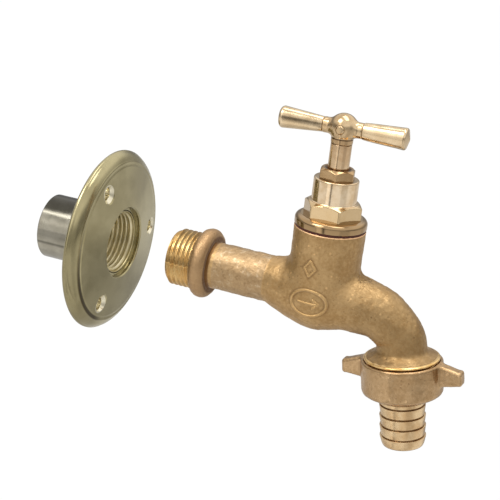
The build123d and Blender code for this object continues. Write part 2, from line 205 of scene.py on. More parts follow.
# ---- turned meshes
def eased(points, closed):
    """Outline with rounded corners: each point is (radius, height) or (radius, height, ease)."""
    result = []
    count = len(points)
    for i, point in enumerate(points):
        here = np.array(point[:2], float)
        ease = point[2] if len(point) > 2 else 0.12
        if ease == 0 or (not closed and i in (0, count - 1)):
            result.append(here)
            continue
        before = np.array(points[i - 1][:2], float) - here
        after = np.array(points[(i + 1) % count][:2], float) - here
        start = here + before * min(0.45, ease / np.linalg.norm(before))
        end = here + after * min(0.45, ease / np.linalg.norm(after))
        for t in np.linspace(0, 1, 5):
            result.append((1 - t) ** 2 * start + 2 * t * (1 - t) * here + t * t * end)
    return np.array(result)


def grid_faces(rows, columns, closed):
    """Quads between rows of vertices that each run round in a ring."""
    faces = []
    for i in range(rows if closed else rows - 1):
        a, b = i * columns, (i + 1) % rows * columns
        for j in range(columns):
            k = (j + 1) % columns
            faces.append((a + j, a + k, b + k, b + j))
    return faces


def spun(points, steps=160, shape=None, closed=True):
    """Vertices and faces of an outline turned about Z; shape(radius, height, angle) may change radii."""
    rows = eased(points, closed)
    angle = np.arange(steps) * 2 * pi / steps
    radius = np.repeat(rows[:, :1], steps, 1)
    height = np.repeat(rows[:, 1:], steps, 1)
    if shape:
        radius = shape(radius, height, angle[None, :])
    verts = np.stack([radius * np.cos(angle), radius * np.sin(angle), height], -1).reshape(-1, 3)
    return verts, grid_faces(len(rows), steps, closed)


def threaded(nominal, low, high, crest, root, pitch=PITCH, fade=0.9, flank=(0.12, 0.72), rounded=True):
    """Shape of a helical thread on the rows whose radius is nominal, faded at both ends."""
    def shape(radius, height, angle):
        phase = ((height - low) / pitch - angle / (2 * pi)) % 1.0
        ridge = np.clip((1 - np.abs(2 * phase - 1) - flank[0]) / flank[1], 0, 1)
        if rounded:
            ridge = ridge * ridge * (3 - 2 * ridge)
        ends = np.clip(np.minimum(height - low, high - height) / fade, 0, 1)
        on = np.isclose(radius, nominal) & (height > low) & (height < high)
        return np.where(on, root + (crest - root) * ridge * ends, radius)
    return shape


def thread_rows(radius, low, high, per_turn=18):
    """Outline points along a threaded stretch."""
    count = ceil(abs(high - low) / PITCH * per_turn)
    return [(radius, low + (high - low) * i / count, 0) for i in range(count + 1)]


def soft_min(a, b, k):
    h = np.clip(0.5 + 0.5 * (b - a) / k, 0, 1)
    return b * (1 - h) + a * h - k * h * (1 - h)


def soft_max(a, b, k):
    return -soft_min(-a, -b, k)


def hexed(corner, low, top, chamfer, turned_by, ease=0.12):
    """Shape that cuts the rows between low and top to a hexagon with a coned top."""
    flat = corner * cos(pi / 6)

    def shape(radius, height, angle):
        side = flat / np.cos((angle - turned_by) % (pi / 3) - pi / 6)
        side = soft_min(side, np.full_like(side, corner - 0.08), 0.16)
        cone = corner - (height - top + chamfer) / chamfer * (corner - flat + 0.4)
        limit = soft_min(side + 0 * height, cone, ease)
        on = (height > low - 1e-6) & (height < top + 1e-6)
        return np.where(on, np.minimum(radius, limit), radius)
    return shape


# ---- meshes from fields
def surface_nets(field, low, high, cell):
    """Vertices and quads of the surface where field is zero."""
    axes = [l + cell * np.arange(ceil((h - l) / cell) + 1) for l, h in zip(low, high)]
    grid = np.stack(np.meshgrid(*axes, indexing="ij"), -1)
    value = field(grid.reshape(-1, 3)).reshape(grid.shape[:3])
    inside = value < 0
    size = np.array(value.shape) - 1
    steps = np.eye(3, dtype=int)
    corners = np.array([(i, j, k) for i in (0, 1) for j in (0, 1) for k in (0, 1)])
    filled = sum(inside[i:i + size[0], j:j + size[1], k:k + size[2]].astype(int) for i, j, k in corners)
    cells = np.argwhere((filled > 0) & (filled < 8))
    index = -np.ones(size, int)
    index[tuple(cells.T)] = np.arange(len(cells))
    total = np.zeros((len(cells), 3))
    hits = np.zeros(len(cells))
    for corner in corners:
        for step in steps[corner == 0]:
            a, b = (value[tuple((cells + c).T)] for c in (corner, corner + step))
            crossing = (a < 0) != (b < 0)
            t = np.where(crossing, a / np.where(crossing, a - b, 1), 0)
            total += np.where(crossing[:, None], corner + t[:, None] * step, 0)
            hits += crossing
    verts = np.array(low) + cell * (cells + total / hits[:, None])
    quads = []
    for axis in range(3):
        sides = [(axis + 1) % 3, (axis + 2) % 3]
        u, v = steps[sides]
        beyond = np.roll(inside, -1, axis)
        edges = np.argwhere(inside != beyond)
        edges = edges[(edges[:, axis] < size[axis]) & ((edges > 0) & (edges < size))[:, sides].all(1)]
        quad = np.stack([index[tuple((edges - s).T)] for s in (0 * u, u, u + v, v)], -1)
        flip = beyond[tuple(edges.T)]
        quad[flip] = quad[flip][:, ::-1]
        quads.append(quad)
    return verts, np.concatenate(quads)


def slope_of(field, points, probe):
    """Slope of a field, by small steps each way along each axis."""
    return np.stack([(field(points + probe * e) - field(points - probe * e)) / (2 * probe)
                     for e in np.eye(3)], -1)


def settle(field, verts, quads, cell):
    """Even the net out and bring its vertices onto the surface."""
    pairs = np.concatenate([quads[:, [i, (i + 1) % 4]] for i in range(4)])
    pairs = np.concatenate([pairs, pairs[:, ::-1]])
    degree = np.bincount(pairs[:, 0], minlength=len(verts))[:, None]
    for _ in range(3):
        mean = np.stack([np.bincount(pairs[:, 0], verts[pairs[:, 1], i], len(verts)) for i in range(3)], -1)
        verts = 0.5 * verts + 0.5 * mean / degree
        for _ in range(2):
            slope = slope_of(field, verts, 0.02)
            step = slope * (field(verts) / np.maximum((slope ** 2).sum(-1), 0.05))[:, None]
            length = np.linalg.norm(step, axis=-1, keepdims=True)
            verts = verts - step * np.minimum(1, 0.5 * cell / np.maximum(length, 1e-9))
    return verts


def skinned(field, low, high, cell):
    """Mesh of a field, with its vertices on the surface."""
    verts, quads = surface_nets(field, low, high, cell)
    return settle(field, verts, quads, cell), quads.tolist()


def tube_field(p, radius, axis=2):
    """Distance outside an endless cylinder about one axis."""
    others = [i for i in range(3) if i != axis]
    return np.hypot(p[:, others[0]], p[:, others[1]]) - radius


def between(p, low, high, axis=2):
    """Distance outside a slab."""
    return np.maximum(low - p[:, axis], p[:, axis] - high)


def local(p, matrix):
    """Points in another frame, both in millimetres."""
    inverse = np.array(matrix.inverted())
    return p @ inverse[:3, :3].T + inverse[:3, 3]


# ---- pieces
def mesh_of(name, verts, faces, matrix):
    """New mesh in metres from local millimetres."""
    carry = np.array(matrix)
    placed = (verts @ carry[:3, :3].T + carry[:3, 3]) * MM
    mesh = bpy.data.meshes.new(name)
    mesh.from_pydata(placed.tolist(), [], faces)
    work = bmesh.new()
    work.from_mesh(mesh)
    bmesh.ops.remove_doubles(work, verts=work.verts, dist=1e-7)
    bmesh.ops.dissolve_degenerate(work, edges=work.edges, dist=1e-7)
    bmesh.ops.recalc_face_normals(work, faces=work.faces)
    work.to_mesh(mesh)
    work.free()
    mesh.shade_smooth()
    return mesh


def sharpen(obj, degrees):
    """Sharp edges over an angle, and even shading on the faces between them."""
    obj.data.shade_smooth()
    obj.data.set_sharp_from_angle(angle=radians(degrees))
    obj.modifiers.new("even_normals", "WEIGHTED_NORMAL").keep_sharp = True


def linked(name, data):
    """New object in the scene."""
    obj = bpy.data.objects.new(name, data)
    bpy.context.scene.collection.objects.link(obj)
    return obj


def piece(name, shape, matrix, body, node, slot, *looks, crease=None):
    """Object that stands for a node: it rides on a body and takes its materials in order."""
    obj = linked(name, mesh_of(name, *shape, matrix))
    for look in looks:
        obj.data.materials.append(look)
    if crease:
        sharpen(obj, crease)
    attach(obj, body)
    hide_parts(node)
    return obj


def joined(*parts):
    """One mesh from several (vertices, faces) in the same frame."""
    verts, faces, base = [], [], 0
    for part_verts, part_faces in parts:
        verts.append(part_verts)
        faces += [tuple(i + base for i in face) for face in part_faces]
        base += len(part_verts)
    return np.concatenate(verts), faces


def carried(part, matrix):
    """The same mesh in another frame."""
    carry = np.array(matrix)
    return part[0] @ carry[:3, :3].T + carry[:3, 3], part[1]


# ---- materials
class Nodes:
    """Short ways to add shader nodes to a node tree."""

    def node(self, kind, inputs=(), **settings):
        made = self.tree.nodes.new("ShaderNode" + kind)
        for key, value in settings.items():
            setattr(made, key, value)
        for key, value in dict(inputs).items():
            self.put(made.inputs[key], value)
        return made

    def put(self, socket, value):
        """Link a socket, or set a value; a colour may leave out its alpha."""
        if isinstance(value, bpy.types.NodeSocket):
            self.tree.links.new(value, socket)
        else:
            socket.default_value = (*value, 1) if socket.type == "RGBA" and len(value) == 3 else value

    def math(self, operation, a, b=0.0):
        return self.node("Math", {0: a, 1: b}, operation=operation).outputs[0]

    def times(self, a, b):
        return self.math("MULTIPLY", a, b)

    def plus(self, a, b):
        return self.math("ADD", a, b)

    def minus(self, a, b):
        return self.math("SUBTRACT", a, b)

    def ramp(self, value, low, high, to_low=0.0, to_high=1.0):
        """Value carried smoothly from one range to another."""
        inputs = {"Value": value, "From Min": low, "From Max": high, "To Min": to_low, "To Max": to_high}
        return self.node("MapRange", inputs, interpolation_type="SMOOTHSTEP").outputs[0]

    def window(self, value, low, high, soft):
        """1 between low and high, fading to 0 over soft on each side."""
        return self.times(self.ramp(value, low - soft, low), self.ramp(value, high + soft, high))


class Look(Nodes):
    """Builds one material's nodes; textures read the piece's place in local millimetres."""

    def __init__(self, name, matrix=TAP):
        self.material = bpy.data.materials.new(name)
        self.material.use_nodes = True
        self.tree = self.material.node_tree
        self.shader = self.tree.nodes["Principled BSDF"]
        inverse = matrix.inverted()
        inputs = {"Vector": self.node("TexCoord").outputs["Object"], "Location": inverse.to_translation(),
                  "Rotation": inverse.to_euler(), "Scale": (1 / MM,) * 3}
        self.place = self.node("Mapping", inputs).outputs["Vector"]
        self.x, self.y, self.z = self.node("SeparateXYZ", {0: self.place}).outputs

    def length(self, x=0.0, y=0.0, z=0.0):
        """Length of the vector (x, y, z)."""
        vector = self.node("CombineXYZ", {0: x, 1: y, 2: z}).outputs[0]
        return self.node("VectorMath", {0: vector}, operation="LENGTH").outputs["Value"]

    def curve(self, value, low, high, *stops):
        """Grey level from (value, level) stops, joined smoothly; the value runs from low to high."""
        part = self.node("MapRange", {"Value": value, "From Min": low, "From Max": high}).outputs[0]
        made = self.node("ValToRGB", {0: part})
        points = made.color_ramp.elements
        while len(points) < len(stops):
            points.new(0.5)
        for point, (where, level) in zip(points, sorted(stops)):
            point.position = (where - low) / (high - low)
            point.color = (level, level, level, 1)
        return made.outputs["Color"]

    def noise(self, size, detail=3.0, rough=0.55, place=None, distortion=0.0):
        """Noise whose features are about size millimetres across."""
        inputs = {"Vector": place or self.place, "Scale": 1 / size, "Detail": detail, "Roughness": rough,
                  "Distortion": distortion}
        return self.node("TexNoise", inputs).outputs["Fac"]

    def pits(self, size, reach=0.5):
        """Scattered round spots: 1 in the middle of a spot, 0 away from it."""
        cells = self.node("TexVoronoi", {"Vector": self.place, "Scale": 1 / size, "Randomness": 1.0})
        return self.ramp(cells.outputs["Distance"], reach, 0.1)

    def rings(self):
        """Place with the angle about the axis taken out, for turning marks."""
        return self.node("CombineXYZ", {0: self.length(self.x, self.y), 2: self.z}).outputs[0]

    def mix(self, factor, a, b):
        return self.node("Mix", {"Factor": factor, "A": a, "B": b}, data_type="RGBA").outputs["Result"]

    def tint(self, factor, colour):
        """Lay a colour over the surface's own."""
        self.colour = self.mix(factor, self.colour, colour)

    def scale(self, level):
        """Make the surface's colour lighter or darker."""
        self.colour = self.node("VectorMath", {0: self.colour, 1: level}, operation="MULTIPLY").outputs[0]

    def bump(self, *layers):
        """Bump from (height socket, depth in mm) layers, the last on top."""
        normal = None
        for height, depth in layers:
            made = self.node("Bump", {"Height": height, "Strength": 1.0, "Distance": depth * MM})
            if normal:
                self.put(made.inputs["Normal"], normal)
            normal = made.outputs["Normal"]
        return normal

    def finish(self, rough, normal=None, metal=1.0):
        """Set the shader and give the material."""
        for key, value in (("Base Color", self.colour), ("Roughness", rough), ("Metallic", metal)):
            self.put(self.shader.inputs[key], value)
        if normal:
            self.put(self.shader.inputs["Normal"], normal)
        return self.material


def srgb(r, g, b):
    """Linear colour from 0-255 display values."""
    return tuple(((c / 255 + 0.055) / 1.055) ** 2.4 if c > 10 else c / 3295 for c in (r, g, b))


def cast_brass(name, matrix, dark, light, recess, rough=(0.40, 0.56), grain=0.03, dents=0.085, tint=None):
    """Sand-cast surface: fine grain, small pits, broad tone changes, painted shade in hollows, painted
    highlights on sharp edges, and bright flecks that are painted glints.
    """
    look = Look(name, matrix)
    broad = look.noise(9.0, 4.0, 0.6)
    fine = look.noise(1.1, 4.0, 0.6)
    speck = look.noise(0.35, 2.0, 0.6)
    tone = look.plus(look.times(broad, 0.6), look.times(fine, 0.4))
    look.colour = look.mix(look.ramp(tone, 0.34, 0.66), dark, light)
    edge = look.node("NewGeometry").outputs["Pointiness"]
    # Painted shade darkens the hollows and a painted highlight lightens the sharp edges, both by pointiness.
    look.tint(look.ramp(edge, 0.495, 0.44, 0.0, 0.75), recess)
    look.tint(look.ramp(edge, 0.53, 0.60, 0.0, 0.5), light)
    pits = look.pits(1.7, 0.32)
    look.tint(look.times(pits, look.ramp(fine, 0.5, 0.62, 0.0, 0.55)), recess)
    # Painted glints: scattered spots tinted brighter than the light tone.
    glint_spots = look.times(look.pits(2.7, 0.20), look.ramp(broad, 0.45, 0.6))
    look.tint(look.times(glint_spots, 0.55), tuple(min(c * 1.7, 1) for c in light))
    if tint:
        tint(look)
    matt = look.plus(look.times(fine, 0.5), look.times(speck, 0.5))
    roughness = look.ramp(matt, 0.35, 0.65, rough[1], rough[0])
    normal = look.bump((look.noise(1.6, 3.0, 0.55), dents), (speck, grain), (pits, -0.04), (glint_spots, 0.03))
    return look.finish(roughness, normal)


def turned_brass(name, matrix, dark, light, rough=(0.14, 0.26), lines=0.004, blotch=5.0, tint=None):
    """Machined and polished surface with fine turning marks, faint tarnish and painted shade in hollows."""
    look = Look(name, matrix)
    rings = look.rings()
    fine = look.noise(0.10, 2.0, 0.5, place=rings)
    coarse = look.noise(0.45, 2.0, 0.5, place=rings)
    broad = look.noise(blotch, 4.0, 0.62)
    smear = look.noise(0.9, 3.0, 0.6)
    look.colour = look.mix(look.ramp(broad, 0.35, 0.65), dark, light)
    edge = look.node("NewGeometry").outputs["Pointiness"]
    # Painted shade: darker in hollows and grooves, by pointiness.
    look.tint(look.ramp(edge, 0.49, 0.42, 0.0, 0.6), tuple(c * 0.45 for c in dark))
    if tint:
        tint(look)
    roughness = look.plus(look.ramp(broad, 0.3, 0.7, rough[0], rough[1]),
                          look.times(look.plus(coarse, smear), 0.03))
    normal = look.bump((coarse, lines * 2.0), (fine, lines))
    return look.finish(roughness, normal)


CAST_DARK = srgb(172, 138, 92)
CAST_LIGHT = srgb(196, 163, 116)
# Colour of the pits, and of the painted shade in hollows.
CAST_RECESS = srgb(104, 70, 36)
# Painted shade under the handle's ball, on the hub's skirt and at the top of the stem.
BALL_CREASE_SHADE = srgb(70, 44, 24)
UNDER_BALL_SHADE = srgb(150, 112, 72)


def body_tint(look):
    """Grey collar with a dark crease, patchy neck, a spout painted darker as painted shade, a darker band
    beside the marks, and a bright lip.
    """
    grey = look.ramp(look.x, COLLAR_X + 4.5, COLLAR_X + 3.0, 0.0, 0.65)
    look.tint(grey, srgb(174, 142, 108))
    neck = look.window(look.x, COLLAR_X + 5.5, NECK_STEP_X, 0.5)
    look.tint(look.times(neck, 0.55), srgb(172, 147, 116))
    patches = look.noise(2.4, 4.0, 0.7)
    look.tint(look.times(neck, look.ramp(patches, 0.52, 0.66, 0.0, 0.5)), srgb(214, 194, 164))
    look.tint(look.times(neck, look.ramp(patches, 0.44, 0.34, 0.0, 0.45)), srgb(132, 104, 70))
    crease = look.times(look.window(look.x, COLLAR_X + 2.4, COLLAR_X + 3.6, 0.8),
                        look.ramp(look.length(look.y, look.z), 11.0, 10.0))
    look.tint(look.times(crease, 0.9), CAST_RECESS)
    # Painted shade: the spout is painted darker than the neck and column.
    look.scale(look.curve(look.x, -10, 50, (-10, 1.0), (10, 0.96), (18, 0.80), (50, 0.76)))
    for (x, z), across, along, round_mark in ((OVAL, *OVAL_HALF, True), (DIAMOND, 2.3, 3.0, False)):
        u = look.math("DIVIDE", look.minus(look.x, x), across)
        v = look.math("DIVIDE", look.minus(look.z, z), along)
        if round_mark:
            reach = look.math("SQRT", look.plus(look.times(u, u), look.times(v, v)))
        else:
            reach = look.plus(look.math("ABSOLUTE", u), look.math("ABSOLUTE", v))
        soft = 1.4 / across
        beside = look.window(reach, 1 - 0.2 * soft, 1 + 0.2 * soft, soft)
        # A darker band beside each mark, on the near side of the casting.
        dark_edging = look.times(beside, look.ramp(look.y, -8.0, -10.0))
        look.tint(look.times(dark_edging, 0.5), CAST_RECESS)
    lip = look.ramp(look.z, COLUMN_TOP - 0.55, COLUMN_TOP - 0.35)
    look.tint(lip, srgb(240, 196, 150))


def mark_tint(look):
    """Raised marks are painted a little brighter than the skin round them, a painted highlight."""
    look.scale((1.12, 1.12, 1.08))


def painted_reflection_bands(*stops):
    """Painted reflections: tint by height on a level cylinder; stops are (height over radius, level)."""
    def tint(look):
        up = look.math("DIVIDE", look.times(look.x, -1.0), look.length(look.x, look.y))
        look.scale(look.curve(up, -1, 1, *stops))
    return tint


def bonnet_tint(look):
    """The round flange is darker than the hexagon, and both are darker than the gland box."""
    look.tint(look.ramp(look.z, HEX_TOP + 0.1, HEX_TOP - 0.2, 0.0, 0.8), srgb(198, 170, 126))
    look.tint(look.ramp(look.z, FLANGE_TOP + 0.1, FLANGE_TOP - 0.2, 0.0, 0.9), srgb(162, 134, 98))


def gland_tint(look):
    """Dark oil round the stem, on top of the gland nut."""
    ring = look.times(look.ramp(look.length(look.x, look.y), STEM_HOLE + 1.1, STEM_HOLE + 0.6),
                      look.ramp(look.z, GLAND_TOP - 1.2, GLAND_TOP - 0.8))
    look.tint(look.times(ring, 0.85), srgb(72, 46, 26))


def hub_tint(look):
    """Painted shade under the ball: the skirt is darker, darkest in the crease between the ball and its
    skirt.
    """
    look.tint(look.ramp(look.z, -3.2, -3.6, 0.0, 0.3), UNDER_BALL_SHADE)
    look.tint(look.times(look.window(look.z, -3.75, -3.4, 0.15), 0.8), BALL_CREASE_SHADE)


def stem_tint(look):
    """Painted shade under the ball: the stem is browner towards the hub."""
    look.tint(look.ramp(look.z, STEM_TOP - 3.4, STEM_TOP, 0.0, 0.3), UNDER_BALL_SHADE)


def tail_tint(look):
    """Painted shade in the groove above each barb."""
    phase = look.math("FRACT", look.math("DIVIDE", look.minus(look.z, BARB_START - 0.45), BARB_PITCH))
    near = look.times(look.window(phase, 0.03, 0.10, 0.03), look.ramp(look.z, BARB_START - 1, BARB_START))
    look.tint(look.times(near, 0.7), srgb(92, 66, 38))


def plate_tint(look):
    """Painted highlights on the walls of the screw holes, a painted dark reflection on the lower bevel with a
    dark streak, two tarnished clouds.
    """
    # Painted highlight: the countersink walls are painted near white.
    for angle in SCREW_ANGLES:
        away = look.length(look.plus(look.x, SCREW_CIRCLE * cos(angle)),
                           look.minus(look.y, SCREW_CIRCLE * sin(angle)))
        look.tint(look.ramp(away, SINK_R + 0.12, SINK_R), srgb(226, 218, 192))
    radius = look.length(look.x, look.y)
    # Painted dark reflection on the lower front of the bevel.
    lower = look.times(look.ramp(look.y, -8.0, -16.0), look.ramp(look.x, -14.0, 10.0))
    bevel = look.times(look.ramp(radius, SHOULDER[0], SHOULDER[0] + 1.2), lower)
    look.tint(look.times(bevel, 0.35), srgb(92, 82, 56))
    streak = look.times(look.window(radius, SHOULDER[0] - 0.4, SHOULDER[0] + 0.5, 0.5), lower)
    look.tint(look.times(streak, 0.85), srgb(58, 44, 24))
    for centre, reach, depth in (((-22.0, 13.0, 6.0), 15.0, 0.30), ((2.0, -15.0, 6.0), 20.0, 0.22)):
        away = look.node("VectorMath", {0: look.place, 1: centre}, operation="DISTANCE").outputs["Value"]
        cloud = look.plus(away, look.times(look.noise(7.0, 2.0), 4.0))
        look.tint(look.ramp(cloud, reach, 0.3 * reach, 0.0, depth), srgb(70, 62, 44))


def socket_tint(look):
    """The socket's thread is darker in its roots."""
    root = look.ramp(look.length(look.x, look.y), SOCKET_CREST + 0.35, SOCKET_ROOT - 0.08, 0.0, 0.6)
    look.tint(root, srgb(150, 134, 80))


def fibre(name, dark, light, rough):
    """Dull pressed fibre or rubber."""
    look = Look(name)
    grain = look.noise(0.5, 4.0, 0.65)
    strands = look.noise(0.18, 3.0, 0.7, distortion=1.0)
    look.colour = look.mix(look.ramp(grain, 0.35, 0.65), dark, light)
    return look.finish(look.ramp(strands, 0.3, 0.7, rough, rough + 0.15),
                       look.bump((grain, 0.05), (strands, 0.03)), metal=0.0)


cast_look = cast_brass("cast_brass", TAP, CAST_DARK, CAST_LIGHT, CAST_RECESS, dents=0.13, tint=body_tint)
mark_look = cast_brass("mark_brass", TAP, CAST_DARK, CAST_LIGHT, CAST_DARK, tint=mark_tint)
nut_look = cast_brass("nut_brass", UNION, srgb(168, 136, 97), srgb(192, 161, 122), srgb(112, 76, 44),
                      rough=(0.26, 0.38), grain=0.010, dents=0.07)
# Painted reflections in bands round the inlet thread.
thread_look = turned_brass("thread_brass", INLET, srgb(220, 170, 100), srgb(238, 199, 134), (0.16, 0.26),
                           tint=painted_reflection_bands((-1, 0.85), (-0.6, 0.95), (-0.3, 0.72), (-0.02, 0.66),
                                             (0.02, 1.0), (0.05, 0.42), (0.18, 0.5), (0.35, 0.95),
                                             (0.6, 1.0), (0.8, 0.9), (1, 0.6)))
nose_look = turned_brass("nose_brass", UNION, srgb(220, 176, 108), srgb(240, 205, 146))
bonnet_look = turned_brass("bonnet_brass", TAP, srgb(216, 188, 150), srgb(238, 216, 184), (0.05, 0.10),
                           tint=bonnet_tint)
gland_look = turned_brass("gland_brass", TAP, srgb(176, 144, 104), srgb(200, 168, 126), (0.12, 0.2),
                          tint=gland_tint)
handle_look = turned_brass("handle_brass", BAR, srgb(200, 176, 140), srgb(220, 198, 164), (0.10, 0.17))
hub_look = turned_brass("hub_brass", HUB, srgb(188, 160, 122), srgb(210, 185, 148), (0.10, 0.18),
                        tint=hub_tint)
stem_look = turned_brass("stem_brass", TAP, srgb(200, 168, 130), srgb(222, 196, 160), (0.08, 0.15),
                         tint=stem_tint)
tail_look = turned_brass("tail_brass", UNION, srgb(200, 166, 122), srgb(226, 198, 156), (0.16, 0.28),
                         tint=tail_tint)
plate_look = turned_brass("plate_brass", WALL, srgb(160, 150, 114), srgb(177, 167, 130), (0.14, 0.20),
                          lines=0.002, blotch=14.0, tint=plate_tint)
socket_thread_look = turned_brass("socket_thread_brass", WALL, srgb(216, 204, 164), srgb(234, 224, 190),
                                  (0.26, 0.36), tint=socket_tint)
# Painted reflections in bands round the tube.
nickel_look = turned_brass("nickel_tube", WALL, srgb(156, 151, 136), srgb(172, 167, 152), (0.10, 0.16),
                           tint=painted_reflection_bands((-1, 0.5), (-0.75, 0.85), (-0.32, 1.0), (-0.24, 0.42),
                                             (-0.18, 0.95), (0.0, 0.62), (0.18, 0.85), (0.4, 1.0),
                                             (0.62, 0.62), (0.78, 0.22), (1, 0.2)))
gasket_look = fibre("gasket_fibre", srgb(58, 22, 10), srgb(88, 38, 18), 0.7)
packing_look = fibre("packing", srgb(60, 58, 54), srgb(98, 94, 86), 0.75)
rubber_look = fibre("rubber", srgb(24, 24, 24), srgb(44, 43, 42), 0.6)


# ---- wall flange
def plate_shape():
    """Dished face with a shallow groove at its shoulder, a rounded bevel and a flat back."""
    back = MOUTH_X - MOUTH_DEPTH
    rings = np.linspace(FACE_PROFILE[0][0], FACE_PROFILE[0][-1], 10)
    shoulder = [(SHOULDER[0] + SHOULDER_ROUND * cos(a), SHOULDER[1] + SHOULDER_ROUND * sin(a), 0)
                for a in np.radians(range(85, 44, -10))]
    return spun([(MOUTH_R, back, 0.05), (MOUTH_R, MOUTH_X - 0.4, 0.1), (MOUTH_R + 0.4, MOUTH_X, 0.1)]
                + [(r, h, 0) for r, h in zip(rings, np.interp(rings, *FACE_PROFILE))]
                + [(28.5, 5.15, 0.1), (29.0, 4.99, 0.05), (29.35, 4.9, 0.05)] + shoulder
                + [(31.7, 4.05, 0), (32.5, 3.4, 0), (33.1, 2.75, 0), (PLATE_R - 0.45, PLATE_EDGE + 0.5, 0.2),
                   (PLATE_R, PLATE_EDGE, 0.3), (PLATE_R, 0.7, 0.3), (PLATE_R - 0.7, 0, 0.3),
                   (SOCKET_R + FIT_GAP, 0, 0.05), (SOCKET_R + FIT_GAP, back, 0.05)], steps=256)


def screw_cutters():
    """Three countersunk holes as one mesh, in the wall frame."""
    slope = SINK_R - SCREW_R
    top = SINK_FACE + 2.0
    cutter = spun([(0, -2, 0), (SCREW_R, -2, 0), (SCREW_R, SINK_FACE - slope, 0.1), (SINK_R, SINK_FACE, 0),
                   (SINK_R + 2.0, top, 0), (0, top, 0)], steps=72, closed=False)
    places = [move(0, SCREW_CIRCLE * sin(angle), SCREW_CIRCLE * cos(angle)) for angle in SCREW_ANGLES]
    return joined(*(carried(cutter, WALL.inverted() @ place @ WALL) for place in places))


def cut(obj, shape, matrix):
    """Cut a mesh shape out of an object for good."""
    tool = linked("cutter", mesh_of("cutter", *shape, matrix))
    modifier = obj.modifiers.new("cut", "BOOLEAN")
    modifier.object = tool
    modifier.solver = "EXACT"
    made = bpy.data.meshes.new_from_object(obj.evaluated_get(bpy.context.evaluated_depsgraph_get()))
    obj.modifiers.clear()
    obj.data = made
    bpy.data.objects.remove(tool)


plate = piece("wall_plate_face", plate_shape(), WALL, "flange", "wall_plate", "plate_brass", plate_look)
cut(plate, screw_cutters(), WALL)
sharpen(plate, 32)


def socket_shape():
    step = SOCKET_BACK + PIPE_DEPTH
    front = MOUTH_X - MOUTH_DEPTH
    low, high = step + 1.0, front - 0.3
    return spun([(SOCKET_R - 0.3, SOCKET_BACK), (SOCKET_R, SOCKET_BACK + 0.3), (SOCKET_R, high),
                 (SOCKET_R - 0.3, front), (SOCKET_ROOT + 0.15, front, 0.1)]
                + thread_rows(SOCKET_ROOT, high, low)
                + [(SOCKET_CREST, step + 0.6), (PIPE_R, step), (PIPE_R, SOCKET_BACK + 0.3),
                   (PIPE_R + 0.3, SOCKET_BACK)],
                steps=192, shape=threaded(SOCKET_ROOT, low, high, SOCKET_CREST, SOCKET_ROOT))


socket = piece("threaded_socket_tube", socket_shape(), WALL, "flange", "threaded_socket", "nickel_tube",
               nickel_look, socket_thread_look, crease=40)
for face in socket.data.polygons:
    radius = np.hypot(face.center.y, face.center.z) / MM
    face.material_index = int(radius < SOCKET_R - 0.35)


# ---- tap body
def smooth_route(stations, parts=4):
    """Points (x, z, radius) on a smooth curve through stations."""
    points = np.array(stations)
    padded = np.concatenate([[2 * points[0] - points[1]], points, [2 * points[-1] - points[-2]]])
    result = []
    for a, b, c, d in zip(padded, padded[1:], padded[2:], padded[3:]):
        for t in np.arange(parts) / parts:
            result.append(0.5 * (2 * b + (c - a) * t + (2 * a - 5 * b + 4 * c - d) * t ** 2
                                 + (3 * b - a - 3 * c + d) * t ** 3))
    return np.array(result + [points[-1]])


def spout_field(p, path):
    """Distance outside a round bar of changing radius along a route in the XZ plane."""
    best = np.full(len(p), 50.0)
    near = (p[:, 0] > path[0, 0] - 16) & (p[:, 2] < 16)
    q = p[near][:, [0, 2]]
    y2 = p[near][:, 1] ** 2
    value = best[near]
    for a, b in zip(path[:-1], path[1:]):
        along = b[:2] - a[:2]
        t = np.clip((q - a[:2]) @ along / (along @ along), 0, 1)
        gap = q - a[:2] - t[:, None] * along
        radius = a[2] + t * (b[2] - a[2])
        value = np.minimum(value, np.sqrt((gap ** 2).sum(-1) + y2) - radius)
    best[near] = value
    return best


def above_rim(height, radius):
    """Spout station on the union's axis."""
    return RIM_X - height * sin(TILT), RIM_Z + height * cos(TILT), radius


SPOUT = smooth_route([(4.0, -0.7, 11.0), (9.0, -1.0, 10.5), (14.0, -1.6, 10.1), (21.9, -2.9, 9.2),
                      (28.0, -6.9, 8.7), above_rim(7.2, 8.4), above_rim(4.2, 8.8), above_rim(2.0, 8.8)])
PASSAGE = np.array([(8.6, 5.2, 5.6), (15.0, 2.2, 5.8), (21.6, -2.4, 5.6), (27.2, -7.6, 5.4),
                    (31.1, -10.3, 5.7), (31.57, -13.26, 5.8), (33.5, -25.0, OUTLET_BORE)])
UNION_IN_TAP = TAP.inverted() @ UNION


def outside_field(p):
    """Cast outside of the body in the tap's frame."""
    rho = np.hypot(p[:, 0], p[:, 1])
    z = p[:, 2]
    lower = (np.sqrt((rho / BELLY_R) ** 2 + ((z - BELLY_Z) / BELLY_DEPTH) ** 2) - 1) * BELLY_DEPTH
    t = np.clip((z - BELLY_Z) / 11.0, 0, 1)
    side = BELLY_R + (COLUMN_R - BELLY_R) * t * t * (3 - 2 * t) + 0.1 * np.clip((z - 14) / 10, 0, 1)
    column = np.where(z < BELLY_Z, lower, rho - side)
    column = soft_max(column, z - COLUMN_TOP, 0.25)
    middle = np.interp(p[:, 0], *NECK_DROP)
    radius = np.interp(p[:, 0], *NECK_PROFILE)
    neck = np.maximum(np.hypot(p[:, 1], z - middle) - radius, between(p, COLLAR_X - 1, 0, axis=0))
    body = soft_min(column, neck, 4.0)
    body = soft_min(body, spout_field(p, SPOUT), 2.6)
    collar = np.hypot(np.hypot(p[:, 1], z) - COLLAR_R, p[:, 0] - COLLAR_X) - COLLAR_TUBE
    body = soft_min(body, collar, 1.0)
    q = local(p, UNION_IN_TAP)
    flare = np.interp(q[:, 2], *FLARE_PROFILE)
    nose = np.maximum(tube_field(q, flare), between(q, -8, -0.9)) * 0.6
    return soft_min(body, nose, 0.4)


